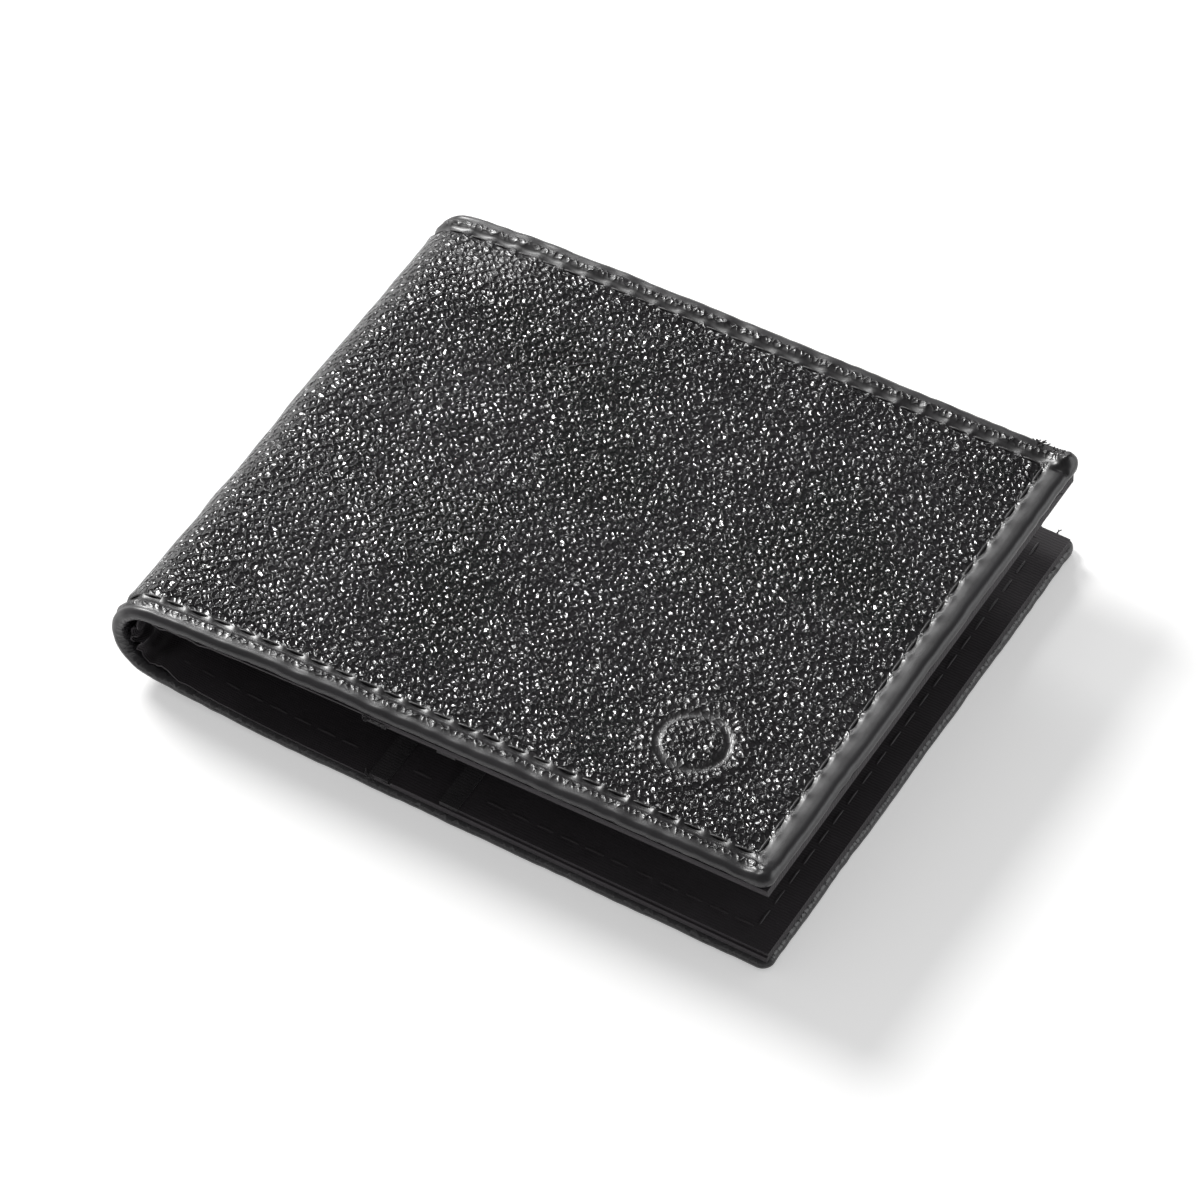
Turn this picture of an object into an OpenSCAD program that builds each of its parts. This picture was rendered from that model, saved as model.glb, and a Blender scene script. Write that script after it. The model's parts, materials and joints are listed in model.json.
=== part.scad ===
// Bifold wallet: two leather leaves joined by a soft spine that bends in three equal steps.
//
// A leaf is drawn lying on its outer face. x runs from the fold's axis to the open edge, y from
// the sewn foot to the mouth of the bill compartment, and z from the outer face inwards, so z is
// also a layer's depth below the leather's outer surface. The spine is drawn as arcs about the
// fold's axis. An arc's angle is 0 where the lower leaf ends and grows towards the upper leaf.

/* [Overall] */
// Length of a leaf, from the fold's axis to the open edge
leaf_l = 106.4; // [88:0.1:130]
// Height of the wallet, along the fold
wallet_h = 96; // [80:0.5:120]
// Outer radius of the closed fold
fold_r = 8.3; // [6.9:0.1:12]
// Angle by which the upper leaf stands open at rest
rest_tilt = 2.5; // [0:0.1:6]

/* [Leather cover] */
// Thickness of the leather
leather_t = 1; // [0.8:0.05:1.4]
// Thickness of the turned and rolled edge
roll_t = 2.4; // [2:0.1:3]
// Width of the turned-in margin
margin_w = 6.5; // [5.5:0.1:9]
// Radius of a leaf's two outer corners
corner_r = 2.5; // [2.5:0.1:5]
// Gap between two neighbouring strips of the spine
end_gap = 0.5; // [0.4:0.05:0.7]

/* [Seam] */
// Distance of the stitch line from the edge
stitch_inset = 4.3; // [3.6:0.1:5.2]
// Length of one stitch and the gap after it
stitch_pitch = 4.2; // [3.4:0.1:6]
// Thickness of the thread
thread_d = 0.4; // [0.3:0.05:0.5]
// Depth of the sunken stitch line
groove_d = 0.5; // [0.45:0.05:0.6]

/* [Round mark] */
// Outer diameter of the pressed ring
mark_d = 12; // [6:0.5:16]
// Width of the ring's line
mark_line = 1.4; // [0.8:0.1:2]
// Depth of the ring
mark_depth = 0.3; // [0.1:0.05:0.5]
// Distance of the ring's centre from the open edge
mark_from_open_edge = 23; // [18:0.5:40]
// Distance of the ring's centre from the foot
mark_from_foot = 18; // [16:0.5:40]

/* [Stiffener and lining] */
// Thickness of the stiffener
stiffener_t = 0.4; // [0.3:0.05:0.5]
// Distance of the stiffener from the fold's axis
stiffener_from_fold = 3; // [1:0.5:8]
// Thickness of the lining
lining_t = 0.25; // [0.15:0.05:0.35]
// Gap round a layer that lies inside the margin
layer_gap = 0.3; // [0.2:0.05:0.5]

/* [Bill panel and card pockets] */
// Thickness of the bill panel
panel_t = 0.35; // [0.25:0.05:0.5]
// Distance of the inner panels from the wallet's foot and open edge
panel_inset = 1; // [0.6:0.1:1.5]
// Distance of the inner panels from the wallet's top
mouth_drop = 2; // [1.5:0.1:3]
// Thickness of a card pocket
pocket_t = 0.35; // [0.25:0.05:0.5]
// Gap behind an empty card pocket
pocket_gap = 0.3; // [0.25:0.05:0.5]
// Distance of the back pocket's mouth from the fold's axis
back_mouth = 38; // [30:0.5:42]
// Distance of the front pocket's mouth from the back pocket's
mouth_step = 12; // [8:0.5:14]
// Width of the tape that binds a pocket's mouth
tape_w = 3; // [2:0.1:4]
// Thickness of the tape
tape_t = 0.2; // [0.1:0.02:0.22]

/* [Hidden] */
$fn = 48;

// Colours
leather_black = [0.075, 0.078, 0.085];
lining_black = [0.11, 0.11, 0.12];
card_grey = [0.35, 0.34, 0.33];
thread_black = [0.05, 0.05, 0.055];

// The fold: three hinges share the arc, each in the middle of an equal step
fold_arc = 180 - rest_tilt;
fold_step = fold_arc / 3;
leaf_arc = fold_step / 2;
gap_angle = end_gap / 2 / fold_r * 180 / PI;
fold_x = -(leaf_l - fold_r) / 2;

// Edges of the layers, in a leaf's own x and y
half_h = wallet_h / 2;
seam_x = leaf_l - stitch_inset;
seam_y = half_h - stitch_inset;
layer_x = leaf_l - margin_w - layer_gap;
layer_y = half_h - margin_w - layer_gap;
panel_x = leaf_l - panel_inset;
panel_foot = -half_h + panel_inset;
panel_top = half_h - mouth_drop;
front_mouth = back_mouth + mouth_step;

// Depths of the layers' outer sides
lining_z = leather_t + stiffener_t;
panel_z = roll_t;
back_z = panel_z + panel_t + pocket_gap;
front_z = back_z + pocket_t + pocket_gap;

// The seam's details
groove_w = thread_d + 0.5;
thread_z = groove_d / 2;
stitch_share = 0.74;
hem_grip = 0.3;
cut = 1;

// Places its children, drawn as a leaf, where the lower leaf lies
module on_lower_leaf() {
    translate([fold_x, 0, 0]) children();
}

// Places its children, drawn as a leaf, where the upper leaf lies
module on_upper_leaf() {
    translate([fold_x, 0, fold_r])
        rotate([0, -rest_tilt, 0])
            mirror([0, 0, 1])
                translate([0, 0, -fold_r]) children();
}

// Sweeps a section, drawn as radius and -y, about the fold's axis from arc angle a0 to a1
module fold_sweep(a0, a1) {
    translate([0, 0, fold_r])
        rotate([90, 0, 0])
            rotate([0, 0, 270 - a1])
                rotate_extrude(angle = a1 - a0) children();
}

// Section of a flat layer in the fold: z0 to z0 + t deep, from y0 to y1
module layer_section(z0, t, y0, y1) {
    translate([fold_r - z0 - t, -y1]) square([t, y1 - y0]);
}

// A flat layer: x0 to x1, y0 to y1, z0 to z0 + t deep
module layer(x0, x1, y0, y1, z0, t) {
    translate([x0, y0, z0]) cube([x1 - x0, y1 - y0, t]);
}

// Section of the rolled edge: u runs inwards from the edge, for w
module roll_section(w) {
    translate([roll_t / 2, roll_t / 2]) circle(d = roll_t);
    translate([roll_t / 2, 0]) square([w - roll_t / 2, roll_t]);
}

// Leather slab with a rolled edge on three sides, as thick as the roll all over
module leaf_slab() {
    straight_x = leaf_l - corner_r;
    straight_y = half_h - corner_r;
    layer(0, straight_x, -straight_y, straight_y, 0, roll_t);
    for (side = [0, 1]) mirror([0, side, 0]) {
        translate([0, -half_h, 0])
            rotate([90, 0, 90])
                linear_extrude(straight_x) roll_section(corner_r);
        translate([straight_x, -straight_y, 0])
            rotate([0, 0, 270])
                rotate_extrude(angle = 90)
                    translate([corner_r, 0]) mirror([1, 0]) roll_section(corner_r);
    }
    translate([leaf_l, straight_y, 0])
        rotate([90, 0, 0])
            linear_extrude(2 * straight_y)
                mirror([1, 0]) roll_section(corner_r);
}

// Section of the cover in the fold, with its rolled ends and sunken stitch lines
module spine_cover_section() {
    difference() {
        union() {
            translate([fold_r - leather_t, -half_h + roll_t / 2])
                square([leather_t, wallet_h - roll_t]);
            for (side = [0, 1]) mirror([0, side])
                translate([fold_r, -half_h]) rotate(90) roll_section(margin_w);
        }
        for (side = [-1, 1])
            translate([fold_r - groove_d, side * seam_y - groove_w / 2])
                square([groove_d + cut, groove_w]);
    }
}

// Sunken stitch line on a leaf's outer face
module leaf_groove() {
    for (side = [-1, 1])
        translate([0, side * seam_y - groove_w / 2, -cut])
            cube([seam_x + groove_w / 2, groove_w, groove_d + cut]);
    translate([seam_x - groove_w / 2, -seam_y, -cut])
        cube([groove_w, 2 * seam_y, groove_d + cut]);
}

// A leaf's leather, with its share of the fold
module leaf_cover() {
    difference() {
        union() {
            leaf_slab();
            fold_sweep(0, leaf_arc - gap_angle) spine_cover_section();
        }
        layer(0, leaf_l - margin_w, -half_h + margin_w, half_h - margin_w, leather_t, roll_t);
        leaf_groove();
    }
}

// Pressed ring near the upper leaf's outer foot corner
module round_mark() {
    translate([leaf_l - mark_from_open_edge, -half_h + mark_from_foot, -cut])
        difference() {
            cylinder(d = mark_d, h = mark_depth + cut);
            translate([0, 0, -cut])
                cylinder(d = mark_d - 2 * mark_line, h = mark_depth + 3 * cut);
        }
}

module leaf_stiffener() {
    layer(stiffener_from_fold, layer_x, -layer_y, layer_y, leather_t, stiffener_t);
}

// A layer with a leaf's share of the fold: flat to x1, from y0 to y1, z0 to z0 + t deep
module bent_layer(x1, y0, y1, z0, t) {
    reach = 2 * fold_r;
    bend = leaf_arc - gap_angle;
    translate([0, y1, 0]) rotate([90, 0, 0]) linear_extrude(y1 - y0) {
        translate([0, z0]) square([x1, t]);
        translate([0, fold_r]) intersection() {
            difference() {
                circle(r = fold_r - z0);
                circle(r = fold_r - z0 - t);
            }
            polygon([[0, 0], [0, -reach], [-reach * sin(bend), -reach * cos(bend)]]);
        }
    }
}

module leaf_lining() {
    bent_layer(layer_x, -layer_y, layer_y, lining_z, lining_t);
}

module leaf_bill_panel() {
    bent_layer(panel_x, panel_foot, panel_top, panel_z, panel_t);
}

// Card pocket: a panel with hems on its three sewn sides that reach down to the layer behind it
module card_pocket(mouth, z0) {
    hem_x = mouth + tape_w + layer_gap;
    hem_y = seam_y - hem_grip;
    hem_z = z0 - pocket_gap;
    layer(mouth, panel_x, panel_foot, panel_top, z0, pocket_t);
    layer(hem_x, panel_x, panel_foot, -hem_y, hem_z, pocket_gap);
    layer(hem_x, panel_x, hem_y, panel_top, hem_z, pocket_gap);
    layer(seam_x - hem_grip, panel_x, -hem_y, hem_y, hem_z, pocket_gap);
}

// Tape folded round the mouth of a card pocket
module mouth_tape(mouth, z0) {
    difference() {
        layer(mouth - tape_t, mouth + tape_w, panel_foot, panel_top,
            z0 - tape_t, pocket_t + 2 * tape_t);
        layer(mouth, mouth + tape_w + cut, panel_foot - cut, panel_top + cut, z0, pocket_t);
    }
}

// One straight stitch along x, centred on a point
module stitch_x(x, y, z, length) {
    translate([x - length / 2, y, z]) rotate([0, 90, 0]) cylinder(d = thread_d, h = length);
}

// One straight stitch along y, centred on a point
module stitch_y(x, y, z, length) {
    translate([x, y + length / 2, z]) rotate([90, 0, 0]) cylinder(d = thread_d, h = length);
}

// Stitches of the spine's two seams between arc angles a0 and a1
module fold_stitches(a0, a1) {
    count = max(1, round((a1 - a0) / leaf_arc));
    share = (a1 - a0) / count;
    for (i = [0 : count - 1], side = [-1, 1])
        fold_sweep(a0 + (i + (1 - stitch_share) / 2) * share,
            a0 + (i + (1 + stitch_share) / 2) * share)
            translate([fold_r - thread_z, side * seam_y]) circle(d = thread_d);
}

// Stitches sunk in a leaf's outer face, with those of its share of the fold
module leaf_seam_stitches() {
    count_x = floor(seam_x / stitch_pitch);
    pitch_x = seam_x / count_x;
    for (i = [0 : count_x - 1], side = [-1, 1])
        stitch_x((i + 0.5) * pitch_x, side * seam_y, thread_z, pitch_x * stitch_share);
    count_y = floor(2 * seam_y / stitch_pitch);
    pitch_y = 2 * seam_y / count_y;
    for (i = [0 : count_y - 1])
        stitch_y(seam_x, -seam_y + (i + 0.5) * pitch_y, thread_z, pitch_y * stitch_share);
    fold_stitches(0, leaf_arc);
}

// Depth of the innermost face at x
function inner_face(x) =
    x > front_mouth ? front_z + pocket_t :
    x > back_mouth ? back_z + pocket_t :
    panel_z + panel_t;

// Whether a stitch centred at x would meet the tape of a pocket's mouth
function meets_tape(x, length) =
    min([for (mouth = [back_mouth, front_mouth])
        abs(x - mouth - tape_w / 2) - tape_w / 2 - tape_t - length / 2]) < layer_gap;

// Stitches on a leaf's inner face: the foot and the open edge, and the top of the pockets
module leaf_pocket_stitches() {
    count_x = floor(seam_x / stitch_pitch);
    pitch_x = seam_x / count_x;
    length_x = pitch_x * stitch_share;
    for (i = [0 : count_x - 1], side = [-1, 1]) {
        x = (i + 0.5) * pitch_x;
        if (!meets_tape(x, length_x) && (side < 0 || x > back_mouth))
            stitch_x(x, side * seam_y, inner_face(x) + thread_d / 2, length_x);
    }
    count_y = floor(2 * seam_y / stitch_pitch);
    pitch_y = 2 * seam_y / count_y;
    for (i = [0 : count_y - 1])
        stitch_y(seam_x, -seam_y + (i + 0.5) * pitch_y, inner_face(seam_x) + thread_d / 2,
            pitch_y * stitch_share);
}

// The spine's two free steps, each a strip between two hinges
module spine_strip(index) {
    fold_sweep(leaf_arc + index * fold_step + gap_angle,
        leaf_arc + (index + 1) * fold_step - gap_angle)
        children();
}

module cover_lower() {
    color(leather_black) on_lower_leaf() leaf_cover();
}

module cover_spine_lower() {
    color(leather_black) on_lower_leaf() spine_strip(0) spine_cover_section();
}

module cover_spine_upper() {
    color(leather_black) on_lower_leaf() spine_strip(1) spine_cover_section();
}

module cover_upper() {
    color(leather_black) on_upper_leaf() difference() {
        leaf_cover();
        round_mark();
    }
}

module stiffener_lower() {
    color(card_grey) on_lower_leaf() leaf_stiffener();
}

module stiffener_upper() {
    color(card_grey) on_upper_leaf() leaf_stiffener();
}

module lining_lower() {
    color(lining_black) on_lower_leaf() leaf_lining();
}

module lining_spine_lower() {
    color(lining_black) on_lower_leaf()
        spine_strip(0) layer_section(lining_z, lining_t, -layer_y, layer_y);
}

module lining_spine_upper() {
    color(lining_black) on_lower_leaf()
        spine_strip(1) layer_section(lining_z, lining_t, -layer_y, layer_y);
}

module lining_upper() {
    color(lining_black) on_upper_leaf() leaf_lining();
}

module bill_panel_lower() {
    color(lining_black) on_lower_leaf() leaf_bill_panel();
}

module bill_panel_spine_lower() {
    color(lining_black) on_lower_leaf()
        spine_strip(0) layer_section(panel_z, panel_t, panel_foot, panel_top);
}

module bill_panel_spine_upper() {
    color(lining_black) on_lower_leaf()
        spine_strip(1) layer_section(panel_z, panel_t, panel_foot, panel_top);
}

module bill_panel_upper() {
    color(lining_black) on_upper_leaf() leaf_bill_panel();
}

module back_pocket_lower() {
    color(lining_black) on_lower_leaf() card_pocket(back_mouth, back_z);
}

module back_pocket_upper() {
    color(lining_black) on_upper_leaf() card_pocket(back_mouth, back_z);
}

module back_tape_lower() {
    color(thread_black) on_lower_leaf() mouth_tape(back_mouth, back_z);
}

module back_tape_upper() {
    color(thread_black) on_upper_leaf() mouth_tape(back_mouth, back_z);
}

module front_pocket_lower() {
    color(lining_black) on_lower_leaf() card_pocket(front_mouth, front_z);
}

module front_pocket_upper() {
    color(lining_black) on_upper_leaf() card_pocket(front_mouth, front_z);
}

module front_tape_lower() {
    color(thread_black) on_lower_leaf() mouth_tape(front_mouth, front_z);
}

module front_tape_upper() {
    color(thread_black) on_upper_leaf() mouth_tape(front_mouth, front_z);
}

module seam_stitches_lower() {
    color(thread_black) on_lower_leaf() leaf_seam_stitches();
}

module seam_stitches_spine_lower() {
    color(thread_black) on_lower_leaf() fold_stitches(leaf_arc, leaf_arc + fold_step);
}

module seam_stitches_spine_upper() {
    color(thread_black) on_lower_leaf()
        fold_stitches(leaf_arc + fold_step, leaf_arc + 2 * fold_step);
}

module seam_stitches_upper() {
    color(thread_black) on_upper_leaf() leaf_seam_stitches();
}

module pocket_stitches_lower() {
    color(thread_black) on_lower_leaf() leaf_pocket_stitches();
}

module pocket_stitches_upper() {
    color(thread_black) on_upper_leaf() leaf_pocket_stitches();
}

cover_lower();
cover_spine_lower();
cover_spine_upper();
cover_upper();
stiffener_lower();
stiffener_upper();
lining_lower();
lining_spine_lower();
lining_spine_upper();
lining_upper();
bill_panel_lower();
bill_panel_spine_lower();
bill_panel_spine_upper();
bill_panel_upper();
back_pocket_lower();
back_pocket_upper();
back_tape_lower();
back_tape_upper();
front_pocket_lower();
front_pocket_upper();
front_tape_lower();
front_tape_upper();
seam_stitches_lower();
seam_stitches_spine_lower();
seam_stitches_spine_upper();
seam_stitches_upper();
pocket_stitches_lower();
pocket_stitches_upper();
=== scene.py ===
"""The looks of a bifold wallet in black pebbled leather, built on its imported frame."""

import json
import math

import bpy
import numpy as np
from bpy.props import FloatProperty, FloatVectorProperty, IntProperty, PointerProperty
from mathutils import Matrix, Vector


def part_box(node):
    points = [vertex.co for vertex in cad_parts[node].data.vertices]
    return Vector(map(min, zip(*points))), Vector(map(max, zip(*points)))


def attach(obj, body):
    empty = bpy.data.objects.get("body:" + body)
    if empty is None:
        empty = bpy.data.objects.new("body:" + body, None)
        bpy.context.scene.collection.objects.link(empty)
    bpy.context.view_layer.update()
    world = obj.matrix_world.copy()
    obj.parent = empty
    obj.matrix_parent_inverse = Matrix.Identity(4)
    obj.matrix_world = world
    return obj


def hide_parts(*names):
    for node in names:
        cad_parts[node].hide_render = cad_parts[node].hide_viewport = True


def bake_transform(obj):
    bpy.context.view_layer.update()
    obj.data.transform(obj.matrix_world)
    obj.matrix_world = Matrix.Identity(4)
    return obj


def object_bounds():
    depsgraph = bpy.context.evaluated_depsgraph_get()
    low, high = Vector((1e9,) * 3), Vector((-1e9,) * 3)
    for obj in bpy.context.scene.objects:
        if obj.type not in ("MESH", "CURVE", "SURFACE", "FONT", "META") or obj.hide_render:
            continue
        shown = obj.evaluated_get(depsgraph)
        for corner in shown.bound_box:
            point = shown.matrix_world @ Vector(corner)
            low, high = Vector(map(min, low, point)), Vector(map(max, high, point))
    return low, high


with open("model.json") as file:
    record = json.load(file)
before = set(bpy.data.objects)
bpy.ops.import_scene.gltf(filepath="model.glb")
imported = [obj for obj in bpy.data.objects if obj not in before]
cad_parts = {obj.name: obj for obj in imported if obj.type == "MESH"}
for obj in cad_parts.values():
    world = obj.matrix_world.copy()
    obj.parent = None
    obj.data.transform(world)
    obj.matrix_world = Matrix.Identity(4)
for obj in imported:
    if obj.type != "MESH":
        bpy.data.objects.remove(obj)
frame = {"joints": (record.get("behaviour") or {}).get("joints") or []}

bl_info = {
    "name": "Bifold wallet",
    "version": (1, 0, 0),
    "blender": (4, 5, 0),
    "location": "View3D > Sidebar > Wallet",
    "description": "Makes the leather, cloth and thread of a folding wallet",
    "category": "Object",
}

MM = 0.001
CAD_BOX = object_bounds()
LEAVES = ("lower", "upper")
FOLD_BODIES = ("lower_leaf", "spine_lower", "spine_upper", "upper_leaf")
PARTS = ("lower_leaf", "fold_lower", "fold_middle", "fold_upper", "upper_leaf")
LOWER_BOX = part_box("cover_lower")
UPPER_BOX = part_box("cover_upper")
FOOT_Y = CAD_BOX[0][1]
WALLET_H = CAD_BOX[1][1] - CAD_BOX[0][1]
# Metres of cloth or leather to one unit of the lay map
UV_UNIT = 0.1

# How far the cloth stands out at the foot and the open edges, past the solid it stands for
PROUD = 0.55 * MM
FRONT_PROUD = 0.2 * MM
# Depths of the layers of cloth, in from the leather's outer face
CLOTH_DEPTHS = {"lining": (1.4 * MM, 1.65 * MM), "bill_panel": (2.42 * MM, 2.75 * MM)}
POCKET_T = 0.62 * MM
TAPE_OVER = 0.12 * MM
STITCH_L = 3.0 * MM
# How far the inner thread stands off the cloth
THREAD_OFF = 0.05 * MM

# Forms along the cover's edge: how deep, how far in from the edge and how wide
WELT = (-0.2 * MM, 2.4 * MM, 0.45 * MM)
TROUGH = (0.27 * MM, 3.45 * MM, 0.6 * MM)
SHORT_TROUGH = (0.05 * MM, 2.9 * MM, 0.8 * MM)
CHANNEL = (0.15 * MM, 1.5 * MM, 0.26 * MM)
LIP = (0.1 * MM, 0.46 * MM, 0.16 * MM)
# Forms along a seam, by the distance further in from its thread: how deep, how far in and how wide
HOLLOW_W = 0.58 * MM
VALLEY = (0.18 * MM, -0.5 * MM, 1.1 * MM)
PUCKER = (0.2 * MM, 0.5 * MM, 1.2 * MM)
# Tips that stand up at the corners: whether on the upper leaf, whether at the head, and how
# high and how wide in millimetres
NIBS = ((True, True, 1.3, 1.5), (True, False, 0.35, 1.7), (False, True, 0.4, 1.6), (False, False, 0.3, 1.8))
NIB_IN = 1.9 * MM
# Hills by the upper leaf's corner at the fold and the head: past the fold, long, in from the head, high
FAR_SWELL = (11 * MM, 9 * MM, 13 * MM, 7 * MM)
FAR_WORN = (7 * MM, 13 * MM, 7 * MM, 8 * MM)

# Spacing of the cover's net of points: by the seams and the ring, in the field, in the fold
FINE, COARSE, IN_FOLD = 0.31 * MM, 0.62 * MM, 0.5 * MM
# How far the fine net reaches in from the edge, and out past the ring
SEAM_ZONE, RING_ZONE = 7.2 * MM, 0.9 * MM
# Spacing of the points of the cloth: in the leaves, in the fold, by the foot
CLOTH_STEP, CLOTH_IN_FOLD, CLOTH_BY_FOOT = 1.2 * MM, 0.45 * MM, 0.4 * MM

# Each light: its direction from the wallet, distance, width, colour, and whether it only adds shine
LIGHTS = {
    "key": ((-0.74, 0.24, 0.63), 1.25, 0.42, (1.0, 0.995, 0.985), False),
    "glint": ((-0.742, 0.285, 0.607), 1.3, 0.12, (1.0, 1.0, 1.0), True),
    "back": ((-0.54, 0.70, 0.46), 1.3, 0.3, (1.0, 1.0, 1.0), False),
    "side": ((0.82, 0.52, 0.17), 1.2, 1.0, (0.98, 0.99, 1.0), True),
}
# Where the camera looks, from the middle of the wallet's box
AIM_OFF = (1.6 * MM, -1.97 * MM, -5.6 * MM)
FLOOR_HALF = 3.0
FLOOR_GAP = 0.05 * MM


def length_of(name, text, value, low, high):
    """A size in millimetres, kept in metres."""
    return FloatProperty(
        name=name,
        description=text,
        default=value * MM,
        min=low * MM,
        max=high * MM,
        unit="LENGTH",
        precision=5,
    )


def angle_of(name, text, value, low, high):
    """An angle in degrees, kept in radians."""
    return FloatProperty(
        name=name,
        description=text,
        default=math.radians(value),
        min=math.radians(low),
        max=math.radians(high),
        unit="ROTATION",
    )


def colour_of(name, text, value):
    """A colour given as red, green and blue."""
    return FloatVectorProperty(
        name=name, description=text, default=value, size=3, min=0.0, max=1.0, subtype="COLOR"
    )


def strength_of(name, text, value):
    """The strength of a light."""
    return FloatProperty(name=name, description=text, default=value, min=0)


def count_of(name, text, value, low):
    """A number of stitches."""
    return IntProperty(name=name, description=text, default=value, min=low)


class WalletSizes(bpy.types.PropertyGroup):
    """Sizes of the leather, the cloth and the seams."""

    lower_lift: angle_of("Lower lift", "Slope of the lower leaf where it meets the fold", 5.6, 0, 12)
    upper_lift: angle_of("Upper lift", "Slope of the upper leaf where it meets the fold", 6.0, 0, 12)
    end_tilt: angle_of("End tilt", "Slope of the upper leaf out at its open edge", 1.5, 0, 4)
    ease: length_of("Ease", "Stretch over which a leaf's slope dies away", 34, 10, 50)
    edge_r: length_of("Edge radius", "Radius of the rolled edge", 1.2, 0.8, 1.5)
    leather_t: length_of("Leather", "Thickness of the leather in the field", 1.0, 0.8, 1.4)
    margin_w: length_of("Margin", "Width of the turned-in margin", 6.5, 5.5, 9)
    corner_r: length_of("Corner radius", "Radius of the leaves' outer corners", 2.1, 1.5, 5)
    seam_inset: length_of("Seam inset", "Distance of the seam from the edge", 4.3, 3.6, 5.2)
    seam_depth: length_of("Seam depth", "How far the thread is pulled into the leather", 0.36, 0.1, 0.8)
    thread_t: length_of("Thread", "Thickness of the thread", 0.38, 0.2, 0.7)
    pebble: length_of("Pebble", "Width of one pebble of the grain", 0.98, 0.5, 2)
    row_turn: angle_of("Row turn", "Turn of the pebbles' rows from the wallet's length", 45, -90, 90)
    pebble_h: length_of("Pebble height", "How far the pebbles stand up", 0.45, 0.0, 0.8)
    swell: length_of("Swell", "Unevenness of the leather over the boards", 0.26, 0.0, 0.5)
    crumple: length_of("Crumple", "Waves of the loose cloth in the fold", 1.2, 0.0, 1.6)
    mark_r: length_of("Mark radius", "Outer radius of the pressed ring", 6.0, 3, 9)
    mark_w: length_of("Mark line", "Width of the pressed ring's line", 1.4, 0.5, 2)
    mark_depth: length_of("Mark depth", "Depth of the pressed ring", 0.3, 0.0, 0.5)
    mark_from_open: length_of("Mark from open edge", "Ring's centre from the open edge", 23, 10, 60)
    mark_from_foot: length_of("Mark from foot", "Ring's centre from the foot", 18, 10, 60)
    rib: length_of("Rib", "Pitch of the ribbed cloth", 0.5, 0.3, 1.5)
    stitches_along: count_of("Stitches along", "Stitches along one leaf", 24, 8)
    stitches_across: count_of("Stitches across", "Stitches on an open edge", 20, 8)
    stitches_fold: count_of("Stitches in the fold", "Stitches round the spine", 6, 3)


class WalletColours(bpy.types.PropertyGroup):
    """Colours of the finishes."""

    leather: colour_of("Leather", "Tops of the pebbles", (0.019, 0.0175, 0.0195))
    # Painted shade: the valleys between the pebbles are coloured darker than the tops
    leather_valley_shade: colour_of("Leather, deep", "Valleys between the pebbles", (0.007, 0.0065, 0.0075))
    edge: colour_of("Rolled edge", "Smooth leather of the rolled edge", (0.027, 0.0255, 0.028))
    cloth: colour_of("Cloth", "Dark cloth of the pockets", (0.032, 0.0275, 0.0315))
    lining: colour_of("Lining", "Cloth behind the bill compartment", (0.03, 0.0255, 0.0295))
    tape: colour_of("Tape", "Binding tape on the edges of the cloth", (0.03, 0.027, 0.03))
    thread: colour_of("Seam thread", "Thread of the outer seam", (0.024, 0.022, 0.024))
    thread_in: colour_of("Inner thread", "Thread of the pockets' seam", (0.045, 0.04, 0.044))
    fray: colour_of("Frayed fibre", "Loose fibres of cloth and leather", (0.05, 0.046, 0.05))
    board: colour_of("Board", "Bonded board in the leaves", (0.21, 0.17, 0.12))
    floor: colour_of("Floor", "The floor that the wallet lies on", (0.86, 0.86, 0.86))


class WalletStage(bpy.types.PropertyGroup):
    """Camera and lights."""

    azimuth: angle_of("Azimuth", "Camera's turn round the wallet", 30.674, -180, 180)
    elevation: angle_of("Elevation", "Camera's height over the floor", 49.473, 1, 89)
    distance: length_of("Distance", "Camera's distance", 1061.9, 300, 5000)
    lens: FloatProperty(name="Lens", description="Focal length for a 36 mm sensor", default=209.8, min=20)
    key: strength_of("Key light", "Strength of the key light", 12.0)
    glint: strength_of("Glint light", "Strength of the glints on the grain", 14.0)
    back: strength_of("Back light", "Strength of the sheen by the fold", 4.0)
    side: strength_of("Side light", "Strength of the shine on the open edge", 7.0)
    fill: strength_of("Fill light", "Strength of the light all round", 0.5)
    floor_glow: strength_of("Floor glow", "Light of the floor's own", 0.42)


# ---- Trees of nodes ----


class Val:
    """One value of a tree of nodes, which can stand in a sum."""

    def __init__(self, net, socket):
        self.net = net
        self.socket = socket

    def _sum(self, operation, *terms):
        """A maths node whose inputs are the terms."""
        return self.net.add("ShaderNodeMath", {"operation": operation}, dict(enumerate(terms)))

    def __add__(self, other):
        return self._sum("ADD", self, other)

    def __radd__(self, other):
        return self._sum("ADD", other, self)

    def __sub__(self, other):
        return self._sum("SUBTRACT", self, other)

    def __rsub__(self, other):
        return self._sum("SUBTRACT", other, self)

    def __mul__(self, other):
        return self._sum("MULTIPLY", self, other)

    def __rmul__(self, other):
        return self._sum("MULTIPLY", other, self)

    def __pow__(self, other):
        return self._sum("POWER", self, other)

    def sine(self):
        """Its sine, in radians."""
        return self._sum("SINE", self)

    def at_least(self, other):
        """The greater of the two."""
        return self._sum("MAXIMUM", self, other)


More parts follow.
